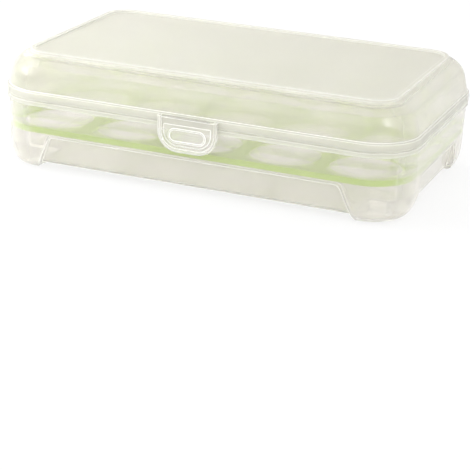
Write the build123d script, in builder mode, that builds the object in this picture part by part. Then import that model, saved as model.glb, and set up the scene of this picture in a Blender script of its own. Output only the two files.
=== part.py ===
from build123d import *
from math import acos, atan, cos, radians, sin, tan
import os

os.makedirs("parts", exist_ok=True)

# Egg keeper with a flip lid, all in mm. X runs along the length, Y from the latch side (-Y) to the
# hinge side (+Y), Z up from the bottoms of the four feet. Everything is centred on X and Y.
# "Inset" is the distance inwards from the outer edge of the rim.

# ---- overall sizes -------------------------------------------------------------------------------
rim_len = 245.0          # length over the rim
rim_wid = 148.0          # width over the rim
rim_rad = 27.0           # plan corner radius of the rim
wall = 1.2               # moulded wall thickness
past = 20.0              # how far the cutting shapes run past what they cut

# heights up the object
pad_h = 1.3              # stacking pads under the feet
foot_h = 4.5             # underside of the base between the feet
panel_top = 21.2         # top of the recessed panels in the base walls
flange_z = 38.8          # underside of the base flange
part_z = 42.0            # parting line: top of the base flange and bottom of the lid band
band_top = 46.9          # top of the lid band
ridge_h = 1.2            # stacking ridge above the flat top

# ---- base wall profile ---------------------------------------------------------------------------
base_draft = 1.6         # lean of the wall in degrees
base_turn_in = 1.7       # inset where the straight wall ends
base_turn_z = 14.0       # height where the straight wall ends
base_rad_side = 24.0     # large radius down the foot
base_turn = 27.0         # slope of the wall where the small radius starts
base_rad_heel = 4.6      # small radius into the sole of the foot

# ---- lid wall profile ----------------------------------------------------------------------------
lid_step = 1.3           # inset of the lid wall on the band
lid_turn_in = 3.1        # inset where the leaning wall ends
lid_turn_z = 55.0        # height where the leaning wall ends
lid_rad = 13.4           # radius over to the flat top
lid_flat_in = 14.8       # inset where the flat top starts, under the ridge
lid_bevels = 3           # bevels on the inside of that radius

# ---- fits ----------------------------------------------------------------------------------------
band_thk = 1.9           # lid band thickness
lip_gap = 0.3            # locating lip of the base to the inside of the lid band
lip_thk = 0.9            # locating lip thickness
lip_h = 1.8              # locating lip above the parting line
lip_root = 2.0           # locating lip below the parting line
tray_gap = 0.85          # tray edge to the base wall
stack_gap = 0.4          # pads inside the ridge of the keeper below
latch_gap = 0.4          # back of the latch flap to the rim
hook_gap = 0.2           # latch hook below the flange

# ---- recessed panels and feet --------------------------------------------------------------------
panel_half_top = 86.0    # half width of the long panels at their top
panel_half_bot = 93.4    # half width of the long panels at the underside
end_half_top = 35.0      # half width of the end panels at their top
end_half_bot = 40.0      # half width of the end panels at the underside
panel_in_top = 3.9       # panel face inset at its top
panel_in_bot = 7.2       # panel face inset at the underside
panel_rad = 4.0          # panel corner radius
foot_rad = 5.0           # plan radius of the inner corner of each foot
foot_taper = 3.5         # the inner sides of each foot lean this much over the height of the foot

# ---- rim edges and stacking ridge ----------------------------------------------------------------
flange_edge_top = 0.7    # chamfers of the base flange
flange_edge_low = 0.5
band_edge_top = 0.8      # chamfers of the lid band
band_edge_low = 0.5
ridge_in = 13.4          # inset of the outside of the stacking ridge
ridge_thk = 2.4

# ---- tray ----------------------------------------------------------------------------------------
hole_dia = 40.0          # egg hole
hole_pitch_x = 46.4
hole_pitch_y = 46.4
hole_margin = 0.5        # least plate between a hole and the edge band
plate_thk = 1.3
rib_thk = 1.2            # ribs under the plate between the holes
tray_lip_h = 3.4         # thick edge band of the tray
tray_lip_thk = 2.0
tray_sink = 0.5          # plate below the top of the edge band

# ---- latch ---------------------------------------------------------------------------------------
latch_w = 34.8
latch_pivot_z = 45.9
latch_bot = 26.2         # lower edge of the flap
latch_rad = 11.5         # lower corner radius
latch_thk = 1.2          # flap plate
rim_up = 1.0             # raised border proud of the plate
rim_w = 1.8              # raised border width
rim_edge = 0.3           # chamfer of the raised border
pad_in = 3.6             # raised middle set in from the edge of the flap
pad_up = 0.4
ear_h = 0.9              # ears above the top edge of the flap
oval_len = 22.0          # bare oval on the flap
oval_h = 8.0
oval_w = 0.9
oval_up = 0.4
hook_in = 1.0            # hook length from the back of the flap
hook_h = 1.8             # hook height at its root
hook_tip_h = 0.6         # hook height at its tip
hook_half = 10.0

# ---- hinges --------------------------------------------------------------------------------------
hinge_x = 56.0           # centre of each rear hinge strip
hinge_len = 40.0
hinge_out = 1.5          # how far the strip bulges behind the rim
hinge_thk = 0.5
hinge_reach = 2.8        # the strip reaches this far above and below the parting line
web_thk = 0.6            # living hinge at the top of the latch
web_half = 12.6

# ---- derived -------------------------------------------------------------------------------------
rim_x = rim_len / 2
rim_y = rim_wid / 2
tray_z = panel_top + wall        # ledge inside the base, the top of the panel shoulders


def base_wall(t, z_top):
    # points down the base wall, t inside its outer face: straight, large radius, small radius
    a, b = radians(base_draft), radians(base_turn)
    c1 = (base_turn_in + base_rad_side * cos(a), base_turn_z + base_rad_side * sin(a))
    c2 = (c1[0] - (base_rad_side - base_rad_heel) * cos(b), c1[1] - (base_rad_side - base_rad_heel) * sin(b))

    def on(c, r, f):
        return (c[0] - (r - t) * cos(f), c[1] - (r - t) * sin(f))

    p1 = on(c1, base_rad_side, a)
    top = (p1[0] - (z_top - p1[1]) * tan(a), z_top)
    p2 = on(c1, base_rad_side, b)
    p3 = (c2[0], c2[1] - base_rad_heel + t)
    if t > 0:
        # bevelled inside, so that the foot and its heel are a little thicker than the wall
        return [(top, p1), (p1, p2), (p2, p3)]
    return [(top, p1), (p1, on(c1, base_rad_side, (a + b) / 2), p2),
            (p2, on(c2, base_rad_heel, (b + radians(90)) / 2), p3)]


def lid_wall(t, z_low):
    # points up the lid wall, t inside its outer face: leaning straight, then the radius to the top
    a = atan((lid_turn_in - lid_step) / (lid_turn_z - band_top))
    c = (lid_turn_in + lid_rad * cos(a), lid_turn_z - lid_rad * sin(a))
    b = acos((c[0] - lid_flat_in) / lid_rad)

    def on(f):
        return (c[0] - (lid_rad - t) * cos(f), c[1] + (lid_rad - t) * sin(f))

    p1 = on(a)
    low = (p1[0] - (p1[1] - z_low) * tan(a), z_low)
    if t > 0:
        # bevelled inside in lid_bevels steps
        turn = [on(a + (b - a) * k / lid_bevels) for k in range(lid_bevels + 1)]
        return [(low, p1)] + list(zip(turn, turn[1:]))
    return [(low, p1), (p1, on((a + b) / 2), on(b))]


def walled(path):
    # solid inside a wall line that runs all round parallel to the rim: two straight runs and
    # four turned corners
    first, last = path[0][0], path[-1][-1]
    with BuildPart() as corner:
        with BuildSketch(Plane.XZ):
            with BuildLine():
                for s in path:
                    pts = [(rim_rad - p[0], p[1]) for p in s]
                    Line(*pts) if len(pts) == 2 else ThreePointArc(*pts)
                Polyline((rim_rad - last[0], last[1]), (0, last[1]), (0, first[1]),
                         (rim_rad - first[0], first[1]))
            make_face()
        revolve(axis=Axis.Z, revolution_arc=90)
    with BuildPart() as body:
        for plane, half, run in ((Plane.XZ, rim_x, rim_y - rim_rad), (Plane.YZ, rim_y, rim_x - rim_rad)):
            with BuildSketch(plane):
                for side in (1, -1):
                    with BuildLine():
                        for s in path:
                            pts = [(side * (half - p[0]), p[1]) for p in s]
                            Line(*pts) if len(pts) == 2 else ThreePointArc(*pts)
                        Polyline((side * (half - last[0]), last[1]), (0, last[1]), (0, first[1]),
                                 (side * (half - first[0]), first[1]))
                    make_face()
            extrude(amount=run, both=True)
        for k, (sx, sy) in enumerate(((1, 1), (-1, 1), (-1, -1), (1, -1))):
            add(Pos(sx * (rim_x - rim_rad), sy * (rim_y - rim_rad), 0) * Rot(0, 0, 90 * k) * corner.part)
    return body.part


def slab(z0, z1, inset):
    # upright block parallel to the rim
    with BuildPart() as body:
        with BuildSketch(Plane.XY.offset(z0)):
            RectangleRounded(rim_len - 2 * inset, rim_wid - 2 * inset, rim_rad - inset)
        extrude(amount=z1 - z0)
    return body.part


def ring(z0, z1, outer, inner):
    # upright ring parallel to the rim between two insets
    with BuildPart() as body:
        with BuildSketch(Plane.XY.offset(z0)):
            RectangleRounded(rim_len - 2 * outer, rim_wid - 2 * outer, rim_rad - outer)
            RectangleRounded(rim_len - 2 * inner, rim_wid - 2 * inner, rim_rad - inner, mode=Mode.SUBTRACT)
        extrude(amount=z1 - z0)
    return body.part


def foot_side(half, grow):
    # the leaning inner side of a foot down to well below it, as points of (distance out, height)
    return [(half + grow - foot_taper * grow / foot_h, foot_h + grow),
            (half + grow + 2 * foot_taper, -foot_h)]


def mirrored(points):
    # closed outline of the points and their mirror image
    return points + [(-x, z) for x, z in reversed(points)]


def panel(grow, end):
    # what is taken off a side between its feet, grown by grow for the inner face
    across, along = (Plane.XZ, Plane.YZ) if end else (Plane.YZ, Plane.XZ)
    edge, reach = (-rim_x, rim_wid) if end else (-rim_y, rim_len)
    top, bot = (end_half_top, end_half_bot) if end else (panel_half_top, panel_half_bot)
    with BuildPart() as cut:
        with BuildSketch(across):
            with BuildLine():
                Polyline((edge - past, panel_top + grow), (edge + panel_in_top + grow, panel_top + grow),
                         (edge + panel_in_bot + grow, foot_h), (edge + panel_in_bot + grow, -foot_h),
                         (edge - past, -foot_h), close=True)
            make_face()
        extrude(amount=reach / 2, both=True)
        with BuildSketch(along):
            with BuildLine():
                Polyline(*mirrored([(top + grow, panel_top + grow)] + foot_side(bot, grow)), close=True)
            make_face()
            fillet(vertices().group_by(Axis.Y)[-1], panel_rad)
        extrude(amount=rim_len, both=True, mode=Mode.INTERSECT)
    return cut.part


def underside(grow):
    # the space under the base between the four feet, a cross in plan with leaning sides
    with BuildPart() as cut:
        for plane, half in ((Plane.XZ, panel_half_bot), (Plane.YZ, end_half_bot)):
            with BuildSketch(plane):
                with BuildLine():
                    Polyline(*mirrored(foot_side(half, grow)), close=True)
                make_face()
            extrude(amount=rim_len, both=True)
        inside = [e for e in edges() if abs(e.center().X) < rim_x and abs(e.center().Y) < rim_y]
        fillet([e for e in inside if e.bounding_box().size.Z > foot_h], foot_rad)
    return cut.part


def between_feet(grow):
    # all that is taken off between the feet
    side = panel(grow, False)
    end = panel(grow, True)
    with BuildPart() as cut:
        add(side)
        add(side.mirror(Plane.XZ))
        add(end)
        add(end.mirror(Plane.YZ))
        add(underside(grow))
    return cut.part


# ==================================================================================================
# base: tub on four hollow feet, with recessed panels, a tray ledge, a flange and a locating lip
# ==================================================================================================
base_in_path = base_wall(wall, flange_z)
neck_in = base_in_path[0][0][0]              # inside of the base wall at the flange
lip_out = band_thk + lip_gap
lip_in = lip_out + lip_thk
pad_inset = ridge_in + ridge_thk + stack_gap
with BuildPart() as tub_hollow:
    add(walled(base_in_path))
    add(slab(flange_z, part_z + past, neck_in))
    add(between_feet(wall), mode=Mode.SUBTRACT)

with BuildPart() as flange:
    add(slab(flange_z, part_z, 0))
    chamfer(edges().group_by(Axis.Z)[-1], flange_edge_top)
    chamfer(edges().group_by(Axis.Z)[0], flange_edge_low)

with BuildPart() as base:
    add(walled(base_wall(0, flange_z)))
    add(slab(0, pad_h, pad_inset))
    add(flange.part)
    add(between_feet(0), mode=Mode.SUBTRACT)
    add(tub_hollow.part, mode=Mode.SUBTRACT)
    # locating lip inside the lid band, rooted in the flange
    add(ring(part_z - lip_root, part_z, lip_out - lip_thk, lip_in))
    add(ring(part_z, part_z + lip_h, lip_out, lip_in))
base.part.label = "base"

# ==================================================================================================
# lid: shallow dome with a flat top, a thick rim band and the stacking ridge
# ==================================================================================================
lid_out_path = lid_wall(0, band_top)
lid_top = lid_out_path[-1][-1][1]            # height of the flat top
with BuildPart() as lid_hollow:
    add(walled(lid_wall(wall, band_top - wall)))
    add(slab(part_z - past, band_top - wall, band_thk))

with BuildPart() as lid_band:
    add(slab(part_z, band_top, 0))
    chamfer(edges().group_by(Axis.Z)[-1], band_edge_top)
    chamfer(edges().group_by(Axis.Z)[0], band_edge_low)

with BuildPart() as lid:
    add(walled(lid_out_path))
    add(lid_band.part)
    add(lid_hollow.part, mode=Mode.SUBTRACT)
    add(ring(lid_top - wall / 2, lid_top + ridge_h, ridge_in, ridge_in + ridge_thk))
lid.part.label = "lid"

# ==================================================================================================
# tray: holed plate with a thick edge band and ribs between the rows and columns of holes
# ==================================================================================================
tray_in = base_wall(wall, tray_z)[0][0][0] + tray_gap
plate_z = tray_z + tray_lip_h - tray_sink - plate_thk


def holes_across(size, pitch):
    # as many holes as the plate takes between the edge bands of a tray for a rim of this size
    room = size - 2 * (tray_in + tray_lip_thk + hole_margin)
    return int((room + pitch - hole_dia) // pitch)


hole_cols = holes_across(rim_len, hole_pitch_x)
hole_rows = holes_across(rim_wid, hole_pitch_y)
with BuildPart() as tray:
    add(slab(plate_z, plate_z + plate_thk, tray_in))
    add(ring(tray_z, tray_z + tray_lip_h, tray_in, tray_in + tray_lip_thk))
    with BuildSketch(Plane.XY.offset(tray_z)):
        with GridLocations(0, hole_pitch_y, 1, hole_rows - 1):
            Rectangle(rim_len - 2 * tray_in - tray_lip_thk, rib_thk)
        with GridLocations(hole_pitch_x, 0, hole_cols - 1, 1):
            Rectangle(rib_thk, rim_wid - 2 * tray_in - tray_lip_thk)
    extrude(amount=plate_z - tray_z)
    with BuildSketch(Plane.XY.offset(tray_z)):
        with GridLocations(hole_pitch_x, hole_pitch_y, hole_cols, hole_rows):
            Circle(hole_dia / 2)
    extrude(amount=tray_lip_h, mode=Mode.SUBTRACT)
tray.part.label = "tray"

# ==================================================================================================
# latch: D-shaped flap with a raised border, two ears, a raised middle, a bare oval and a hook
# ==================================================================================================
latch_top = latch_pivot_z - ear_h
latch_face = Plane.XZ.offset(rim_y + latch_gap)
latch_mid = (latch_top + latch_bot) / 2
latch_back = -(rim_y + latch_gap)
hook_top = flange_z - hook_gap
with BuildPart() as latch:
    with BuildSketch(latch_face):
        with Locations((0, latch_mid)):
            Rectangle(latch_w, latch_top - latch_bot)
        fillet(vertices().group_by(Axis.Y)[0], latch_rad)
    extrude(amount=latch_thk)
    # raised border down both sides and round the bottom, ending in the ears
    with BuildSketch(latch_face):
        with Locations((0, latch_mid + ear_h / 2)):
            Rectangle(latch_w, latch_top - latch_bot + ear_h)
        fillet(vertices().group_by(Axis.Y)[0], latch_rad)
        with BuildSketch(mode=Mode.SUBTRACT):
            with Locations((0, latch_mid + (ear_h + rim_w + past) / 2)):
                Rectangle(latch_w - 2 * rim_w, latch_top - latch_bot + ear_h - rim_w + past)
            fillet(vertices().group_by(Axis.Y)[0], latch_rad - rim_w)
    extrude(amount=latch_thk + rim_up)
    chamfer(faces().sort_by(Axis.Y)[0].edges(), rim_edge)
    # raised middle with the bare oval outline on it
    with BuildSketch(latch_face.offset(latch_thk)):
        with Locations((0, latch_mid)):
            Rectangle(latch_w - 2 * pad_in, latch_top - latch_bot - 2 * pad_in)
        fillet(vertices().group_by(Axis.Y)[0], latch_rad - pad_in)
    extrude(amount=pad_up)
    with BuildSketch(latch_face.offset(latch_thk + pad_up)):
        with Locations((0, latch_mid)):
            SlotOverall(oval_len, oval_h)
            SlotOverall(oval_len - 2 * oval_w, oval_h - 2 * oval_w, mode=Mode.SUBTRACT)
    extrude(amount=oval_up)
    # hook that goes under the flange of the base, rooted in the plate
    with BuildSketch(Plane.YZ):
        with BuildLine():
            Polyline((latch_back - latch_thk / 2, hook_top), (latch_back + hook_in, hook_top),
                     (latch_back + hook_in, hook_top - hook_tip_h), (latch_back, hook_top - hook_h),
                     (latch_back - latch_thk / 2, hook_top - hook_h), close=True)
        make_face()
    extrude(amount=hook_half, both=True)
latch.part.label = "latch"

# ==================================================================================================
# living hinges: a thin web over the latch and two thin curved strips behind the rim
# ==================================================================================================
with BuildPart() as latch_hinge:
    with Locations((0, -rim_y, latch_top)):
        Box(2 * web_half, latch_gap + latch_thk, web_thk, align=(Align.CENTER, Align.MAX, Align.MIN))
latch_hinge.part.label = "latch_hinge"


def hinge_strip(x_mid):
    # thin strip bulging round the pivot line, its two ends on the flange and on the lid band
    with BuildPart() as strip:
        with BuildSketch(Plane.YZ.offset(x_mid - hinge_len / 2)):
            with BuildLine():
                ThreePointArc((rim_y, part_z - hinge_reach), (rim_y + hinge_out, part_z),
                              (rim_y, part_z + hinge_reach))
                Line((rim_y, part_z + hinge_reach), (rim_y, part_z + hinge_reach - hinge_thk))
                ThreePointArc((rim_y, part_z + hinge_reach - hinge_thk),
                              (rim_y + hinge_out - hinge_thk, part_z),
                              (rim_y, part_z - hinge_reach + hinge_thk))
                Line((rim_y, part_z - hinge_reach + hinge_thk), (rim_y, part_z - hinge_reach))
            make_face()
        extrude(amount=hinge_len)
    return strip.part


rear_hinge_left = hinge_strip(-hinge_x)
rear_hinge_left.label = "rear_hinge_left"
rear_hinge_right = hinge_strip(hinge_x)
rear_hinge_right.label = "rear_hinge_right"

export_step(base.part, "parts/base.step")
export_step(lid.part, "parts/lid.step")
export_step(tray.part, "parts/tray.step")
export_step(latch.part, "parts/latch.step")
export_step(latch_hinge.part, "parts/latch_hinge.step")
export_step(rear_hinge_left, "parts/rear_hinge_left.step")
export_step(rear_hinge_right, "parts/rear_hinge_right.step")
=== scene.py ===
import math
import bmesh
import bpy
from mathutils import Matrix, Vector


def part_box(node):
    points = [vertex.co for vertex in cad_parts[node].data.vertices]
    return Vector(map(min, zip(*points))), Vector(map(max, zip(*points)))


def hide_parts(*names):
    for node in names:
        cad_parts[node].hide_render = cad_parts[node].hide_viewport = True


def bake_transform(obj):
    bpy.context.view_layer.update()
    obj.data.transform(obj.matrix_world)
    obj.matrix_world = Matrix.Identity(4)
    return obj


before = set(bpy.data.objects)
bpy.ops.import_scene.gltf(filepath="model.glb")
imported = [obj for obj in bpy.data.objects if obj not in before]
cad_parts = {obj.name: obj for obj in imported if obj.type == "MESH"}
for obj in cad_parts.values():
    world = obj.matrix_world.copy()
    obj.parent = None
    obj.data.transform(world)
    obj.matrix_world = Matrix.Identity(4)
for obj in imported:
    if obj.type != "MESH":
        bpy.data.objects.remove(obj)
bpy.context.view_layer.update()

# Lengths are in metres, as in the frame. X runs along the keeper, -Y is the latch side, Z is up.
MM = 0.001

lid_low, lid_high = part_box("lid")
PART_Z = lid_low.z                      # parting line between base and lid
RIM_LOW = PART_Z - 3.2 * MM             # underside of the base flange
RIM_HIGH = PART_Z + 4.9 * MM            # top of the lid band
RIDGE_UP = 1.2 * MM                     # stacking ridge above the flat top
FROST_Z = lid_high.z - RIDGE_UP - 0.9 * MM      # the etched finish ends a little below the flat top

# ---------------------------------------------------------------- camera
IMAGE_PX = 470.0                        # side of the photograph
SENSOR = 36.0                           # sensor width, in camera millimetres
FOCAL_PX = 1641.5                       # focal length in pixels of the photograph
AZIMUTH, ELEVATION, ROLL = 21.51, 20.72, 2.26   # degrees, seen from the latch side
DISTANCE = 964.35 * MM
AIM_RIGHT, AIM_UP = 1.45 * MM, 43.34 * MM       # from the frame's origin, across the view


def make_camera():
    """A camera at the photograph's viewing angle."""
    azimuth, elevation, roll = (math.radians(v) for v in (AZIMUTH, ELEVATION, ROLL))
    back = Vector((math.sin(azimuth) * math.cos(elevation),
                   -math.cos(azimuth) * math.cos(elevation), math.sin(elevation)))
    right = (-back).cross(Vector((0, 0, 1))).normalized()
    up = right.cross(-back)
    side = right * math.cos(roll) + up * math.sin(roll)
    head = up * math.cos(roll) - right * math.sin(roll)
    data = bpy.data.cameras.new("camera")
    data.sensor_width = SENSOR
    data.lens = FOCAL_PX / IMAGE_PX * SENSOR
    data.clip_start = 0.05
    data.clip_end = 50.0
    cam = bpy.data.objects.new("camera", data)
    bpy.context.scene.collection.objects.link(cam)
    place = Matrix((side, head, back)).transposed().to_4x4()
    place.translation = back * DISTANCE - side * AIM_RIGHT - head * AIM_UP
    cam.matrix_world = place
    bpy.context.scene.camera = cam


make_camera()


# ---------------------------------------------------------------- shader helpers
GRAIN_DEPTH = 0.2 * MM                  # depth of the moulded grain


def node(nt, kind, **settings):
    """A new node with the given settings."""
    n = nt.nodes.new(kind)
    for key, value in settings.items():
        setattr(n, key, value)
    return n


def new_material(name):
    """A material with one Principled shader."""
    mat = bpy.data.materials.new(name)
    mat.use_nodes = True
    nt = mat.node_tree
    nt.nodes.clear()
    out = node(nt, "ShaderNodeOutputMaterial")
    skin = node(nt, "ShaderNodeBsdfPrincipled")
    nt.links.new(skin.outputs[0], out.inputs[0])
    return mat, nt, skin


def math_node(nt, operation, a, b=0.0):
    """The result of one operation on a socket and a socket or a number."""
    n = node(nt, "ShaderNodeMath", operation=operation)
    nt.links.new(a, n.inputs[0])
    if isinstance(b, bpy.types.NodeSocket):
        nt.links.new(b, n.inputs[1])
    else:
        n.inputs[1].default_value = b
    return n.outputs[0]


def ramp(nt, value, low, high, start=0.0, end=1.0):
    """Maps value from start..end to low..high, held at both ends."""
    n = node(nt, "ShaderNodeMapRange")
    for key, number in (("From Min", start), ("From Max", end), ("To Min", low), ("To Max", high)):
        n.inputs[key].default_value = number
    nt.links.new(value, n.inputs["Value"])
    return n.outputs["Result"]


def mix(nt, factor, a, b, kind="FLOAT"):
    """From a to b, each a socket or a value."""
    n = node(nt, "ShaderNodeMix", data_type=kind)
    nt.links.new(factor, n.inputs["Factor"])
    # The Mix node has sockets of every kind under the names A, B and Result, and only one set enabled.
    inputs = {socket.name: socket for socket in n.inputs if socket.enabled}
    for key, value in (("A", a), ("B", b)):
        if isinstance(value, bpy.types.NodeSocket):
            nt.links.new(value, inputs[key])
        else:
            inputs[key].default_value = value
    return next(socket for socket in n.outputs if socket.enabled)


def tint(nt, factor, a, b):
    """From colour a to colour b."""
    colours = [v if isinstance(v, bpy.types.NodeSocket) else (*v, 1.0) for v in (a, b)]
    return mix(nt, factor, *colours, kind="RGBA")


def noise(nt, where, scale, detail=2.0):
    """Soft noise from 0 to 1, with scale waves to the metre."""
    n = node(nt, "ShaderNodeTexNoise")
    n.inputs["Scale"].default_value = scale
    n.inputs["Detail"].default_value = detail
    nt.links.new(where, n.inputs["Vector"])
    return ramp(nt, n.outputs["Fac"], 0.0, 1.0, 0.35, 0.65)


def bumpy(nt, skin, where, scale, strength):
    """Fine moulded grain on the shader's normal."""
    bump = node(nt, "ShaderNodeBump")
    bump.inputs["Distance"].default_value = GRAIN_DEPTH
    if isinstance(strength, bpy.types.NodeSocket):
        nt.links.new(strength, bump.inputs["Strength"])
    else:
        bump.inputs["Strength"].default_value = strength
    nt.links.new(noise(nt, where, scale), bump.inputs["Height"])
    nt.links.new(bump.outputs[0], skin.inputs["Normal"])


def height(nt, vector):
    """The Z part of a vector."""
    n = node(nt, "ShaderNodeSeparateXYZ")
    nt.links.new(vector, n.inputs[0])
    return n.outputs["Z"]


def between(nt, value, low, high, soft):
    """1 where value lies between low and high, soft at both ends."""
    off = math_node(nt, "ABSOLUTE", math_node(nt, "SUBTRACT", value, (low + high) / 2))
    half = (high - low) / 2
    return ramp(nt, off, 1.0, 0.0, half, half + soft)


def edges(nt, radius):
    """1 on crisp edges and 0 on open faces, from how far a rounded normal leans off the true one."""
    bevel = node(nt, "ShaderNodeBevel", samples=16)
    bevel.inputs["Radius"].default_value = radius
    dot = node(nt, "ShaderNodeVectorMath", operation="DOT_PRODUCT")
    nt.links.new(bevel.outputs["Normal"], dot.inputs[0])
    nt.links.new(node(nt, "ShaderNodeNewGeometry").outputs["Normal"], dot.inputs[1])
    return ramp(nt, dot.outputs["Value"], 1.0, 0.0, 0.88, 0.99)


# ---------------------------------------------------------------- materials
IOR = 1.49                              # polypropylene
EDGE = 0.9 * MM                         # radius that finds the crisp edges
# Crisp edges are painted near-white and nearly opaque: partly the whiter haze of moulded edges, partly
# painted highlight lines along the chamfers.
EDGE_HAZE_AND_HIGHLIGHT_TINT = (0.98, 0.98, 0.96)
EDGE_HAZE_AND_HIGHLIGHT_CLEAR = 0.05
SLANT_CLEAR = 0.6                       # share of the clearness that is left on a slanting wall
RIM_TINT = (0.89, 0.88, 0.80)
RIM_CLEAR, RIM_COVER = 0.5, 0.8
RIM_SOFT = 0.4 * MM                     # the rim's haze fades over this height
FROST_TINTS = (0.94, 0.925, 0.845), (0.96, 0.945, 0.87)
FROST_CLEAR, FROST_COVER = 0.6, 0.97
FROST_ROUGH, FROST_GRAIN = 0.62, 0.5
FROST_SOFT = 0.2 * MM                   # half the height over which the etched finish fades


def shell(name, tints, clear, cover, rough, grain, frosted=False):
    """Moulded translucent polypropylene.

    Of the light that reaches the surface, cover meets the plastic and the rest goes straight through. Of
    what meets it, clear goes on, blurred by rough, and the rest shows as pale haze. Slanting walls and
    the thick rim hold more haze. Crisp edges are drawn near-white and opaque, partly their own whiter
    haze and partly painted highlight lines. Frosted plastic is etched to a fine grain above FROST_Z.
    """
    mat, nt, skin = new_material(name)
    where = node(nt, "ShaderNodeTexCoord").outputs["Object"]
    z = height(nt, where)
    cloud = noise(nt, where, 28.0, 3.0)
    slant = ramp(nt, node(nt, "ShaderNodeLayerWeight").outputs["Facing"], 0.0, 0.7, 0.2, 0.95)
    colour = tint(nt, cloud, *tints)
    clear = mix(nt, slant, clear, clear * SLANT_CLEAR)
    cover = mix(nt, slant, cover, 1.0)
    rough = ramp(nt, noise(nt, where, 90.0), rough - 0.03, rough + 0.03)

    rim = between(nt, z, RIM_LOW, RIM_HIGH, RIM_SOFT)
    colour = tint(nt, rim, colour, RIM_TINT)
    clear = mix(nt, rim, clear, RIM_CLEAR)
    cover = mix(nt, rim, cover, RIM_COVER)

    if frosted:
        frost = ramp(nt, z, 0.0, 1.0, FROST_Z - FROST_SOFT, FROST_Z + FROST_SOFT)
        colour = tint(nt, frost, colour, tint(nt, cloud, *FROST_TINTS))
        clear = mix(nt, frost, clear, FROST_CLEAR)
        cover = mix(nt, frost, cover, FROST_COVER)
        rough = mix(nt, frost, rough, FROST_ROUGH)
        grain = ramp(nt, frost, grain, FROST_GRAIN)

    # Painted highlight: the crisp edges are drawn near-white and opaque, partly their own whiter haze
    # and partly painted highlight lines.
    crisp = edges(nt, EDGE)
    nt.links.new(tint(nt, crisp, colour, EDGE_HAZE_AND_HIGHLIGHT_TINT), skin.inputs["Base Color"])
    nt.links.new(mix(nt, crisp, clear, EDGE_HAZE_AND_HIGHLIGHT_CLEAR), skin.inputs["Transmission Weight"])
    nt.links.new(mix(nt, crisp, cover, 1.0), skin.inputs["Alpha"])
    nt.links.new(rough, skin.inputs["Roughness"])
    bumpy(nt, skin, where, 1500.0, grain)
    skin.inputs["IOR"].default_value = IOR
    return mat


def green_plastic():
    """Pale green polypropylene, deeper in colour on its upright sides."""
    mat, nt, skin = new_material("pp_tray")
    where = node(nt, "ShaderNodeTexCoord").outputs["Object"]
    cloud = noise(nt, where, 35.0, 3.0)
    normal = node(nt, "ShaderNodeNewGeometry").outputs["True Normal"]
    flat = math_node(nt, "ABSOLUTE", height(nt, normal))
    side = tint(nt, cloud, (0.51, 0.70, 0.14), (0.55, 0.74, 0.16))
    face = tint(nt, cloud, (0.53, 0.68, 0.23), (0.57, 0.72, 0.27))
    nt.links.new(tint(nt, flat, side, face), skin.inputs["Base Color"])
    nt.links.new(ramp(nt, noise(nt, where, 80.0), 0.28, 0.36), skin.inputs["Roughness"])
    bumpy(nt, skin, where, 1200.0, 0.06)
    skin.inputs["Subsurface Weight"].default_value = 0.3
    skin.inputs["Subsurface Radius"].default_value = (1.0, 1.0, 0.6)
    skin.inputs["Subsurface Scale"].default_value = 3 * MM
    return mat


BASE_TINTS = (0.985, 0.95, 0.89), (0.99, 0.96, 0.91)
LID_TINTS = (0.98, 0.955, 0.86), (0.985, 0.965, 0.89)
LATCH_TINTS = (0.985, 0.97, 0.94), (0.99, 0.975, 0.95)

HINGE_SKIN = shell("pp_hinge", BASE_TINTS, 0.70, 0.60, 0.10, 0.03)
NODE_SKINS = {
    "base": shell("pp_base", BASE_TINTS, 0.76, 0.50, 0.08, 0.02),
    "lid": shell("pp_lid", LID_TINTS, 0.80, 0.71, 0.24, 0.02, frosted=True),
    "latch": shell("pp_latch", LATCH_TINTS, 0.62, 0.60, 0.05, 0.02),
    "tray": green_plastic(),
}
for node_name, node_skin in NODE_SKINS.items():
    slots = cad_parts[node_name].data.materials
    slots.clear()
    slots.append(node_skin)

# ---------------------------------------------------------------- living hinges
WEB = 0.5 * MM                          # thickness of the rear webs


def strip(name, outline, x_low, x_high, rows):
    """A thin web with the closed outline [(y, z), ...], carried along X."""
    bm = bmesh.new()
    rings = []
    for i in range(rows + 1):
        x = x_low + (x_high - x_low) * i / rows
        rings.append([bm.verts.new((x, y, z)) for y, z in outline])
    count = len(outline)
    for a, b in zip(rings, rings[1:]):
        for j in range(count):
            k = (j + 1) % count
            bm.faces.new((a[j], a[k], b[k], b[j]))
    bm.faces.new(rings[0][::-1])
    bm.faces.new(rings[-1])
    bmesh.ops.recalc_face_normals(bm, faces=bm.faces)
    mesh = bpy.data.meshes.new(name)
    bm.to_mesh(mesh)
    bm.free()
    mesh.materials.append(HINGE_SKIN)
    for face in mesh.polygons:
        face.use_smooth = len(face.vertices) == 4
    web = bpy.data.objects.new(name, mesh)
    bpy.context.scene.collection.objects.link(web)
    return web


def arc(y, z, out, reach, steps=20):
    """Points of the arc from (y, z - reach) over (y + out, z) to (y, z + reach)."""
    radius = (reach ** 2 + out ** 2) / (2 * out)
    half = math.asin(reach / radius)
    turns = [half * (2 * i / steps - 1) for i in range(steps + 1)]
    middle = y + out - radius
    return [(middle + radius * math.cos(t), z + radius * math.sin(t)) for t in turns]


def rear_web(name, node_name):
    """The thin curved web of one rear hinge, bent between the base and the lid."""
    low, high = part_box(node_name)
    out = high.y - low.y
    reach = (high.z - low.z) / 2
    outer = arc(low.y, PART_Z, out, reach)
    inner = arc(low.y, PART_Z, out - WEB, reach - WEB)
    web = strip(name, outer + inner[::-1], low.x, high.x, 24)
    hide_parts(node_name)
    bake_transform(web)


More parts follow.
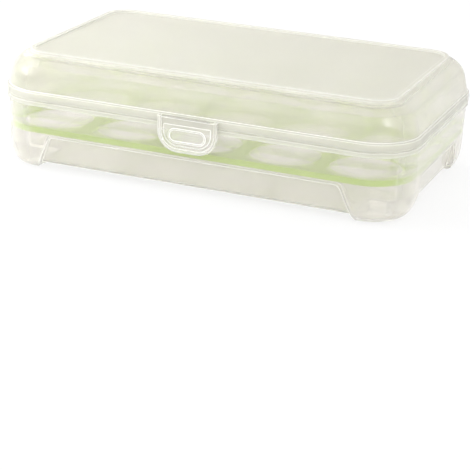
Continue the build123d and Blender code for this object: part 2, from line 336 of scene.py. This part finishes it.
def latch_web():
    """The thin web at the top of the latch, bent between the lid and the latch."""
    low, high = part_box("latch_hinge")
    steps = 8
    depths = [high.y + (low.y - high.y) * i / steps for i in range(steps + 1)]
    outline = [(y, high.z) for y in depths] + [(y, low.z) for y in depths[::-1]]
    web = strip("latch_web", outline, low.x, high.x, 16)
    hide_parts("latch_hinge")
    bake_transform(web)


rear_web("rear_web_left", "rear_hinge_left")
rear_web("rear_web_right", "rear_hinge_right")
latch_web()

# ---------------------------------------------------------------- floor, world and lamps
WHITE = (1.0, 1.0, 1.0, 1.0)
FLOOR_TINT = (0.95, 0.95, 0.95, 1.0)
FLOOR_GLOW = 0.8                        # share of plain white in what is seen of the floor
SKY = 0.97                              # strength of the world's light


def seen_by(nt, *rays):
    """1 for the named kinds of ray."""
    path = node(nt, "ShaderNodeLightPath")
    total = path.outputs[rays[0]]
    for ray in rays[1:]:
        total = math_node(nt, "MAXIMUM", total, path.outputs[ray])
    return total


def mix_shaders(nt, factor, a, b):
    """Shader a where factor is 0, shader b where it is 1."""
    n = node(nt, "ShaderNodeMixShader")
    nt.links.new(factor, n.inputs[0])
    nt.links.new(a.outputs[0], n.inputs[1])
    nt.links.new(b.outputs[0], n.inputs[2])
    return n.outputs[0]


def make_floor():
    """A white floor that keeps the object's shadow."""
    bpy.ops.mesh.primitive_plane_add(size=12.0, location=(0, 0, 0))
    floor = bpy.context.object
    floor.name = "floor"
    mat = bpy.data.materials.new("floor_white")
    mat.use_nodes = True
    nt = mat.node_tree
    nt.nodes.clear()
    out = node(nt, "ShaderNodeOutputMaterial")
    lit = node(nt, "ShaderNodeBsdfDiffuse")
    lit.inputs["Color"].default_value = FLOOR_TINT
    glow = node(nt, "ShaderNodeEmission")
    glow.inputs["Color"].default_value = WHITE
    seen = seen_by(nt, "Is Camera Ray", "Is Glossy Ray", "Is Transmission Ray")
    nt.links.new(mix_shaders(nt, ramp(nt, seen, 0.0, FLOOR_GLOW), lit, glow), out.inputs[0])
    floor.data.materials.append(mat)


def make_world():
    """Even white light, seen as a white backdrop."""
    world = bpy.data.worlds.new("studio")
    bpy.context.scene.world = world
    world.use_nodes = True
    nt = world.node_tree
    nt.nodes.clear()
    out = node(nt, "ShaderNodeOutputWorld")
    sky = node(nt, "ShaderNodeBackground")
    sky.inputs["Color"].default_value = WHITE
    sky.inputs["Strength"].default_value = SKY
    backdrop = node(nt, "ShaderNodeBackground")
    backdrop.inputs["Color"].default_value = WHITE
    seen = seen_by(nt, "Is Camera Ray", "Is Transmission Ray")
    nt.links.new(mix_shaders(nt, seen, sky, backdrop), out.inputs[0])


def lamp(name, azimuth, elevation, distance, width, tall, watts):
    """A soft box aimed at the middle of the keeper."""
    turn, tilt = math.radians(azimuth), math.radians(elevation)
    away = Vector((math.sin(turn) * math.cos(tilt), -math.cos(turn) * math.cos(tilt), math.sin(tilt)))
    data = bpy.data.lights.new(name, "AREA")
    data.shape = "RECTANGLE"
    data.size = width
    data.size_y = tall
    data.energy = watts
    box = bpy.data.objects.new(name, data)
    bpy.context.scene.collection.objects.link(box)
    box.location = away * distance + Vector((0, 0, lid_high.z / 2))
    box.rotation_euler = away.to_track_quat("Z", "Y").to_euler()


make_floor()
make_world()
lamp("key_left", azimuth=-62, elevation=28, distance=0.55, width=0.35, tall=0.35, watts=1.5)
lamp("right_strip", azimuth=54, elevation=26, distance=1.2, width=0.10, tall=0.42, watts=2.4)
lamp("left_strip", azimuth=-122, elevation=30, distance=1.2, width=0.12, tall=0.40, watts=2.4)
bpy.context.scene.view_settings.view_transform = "Standard"
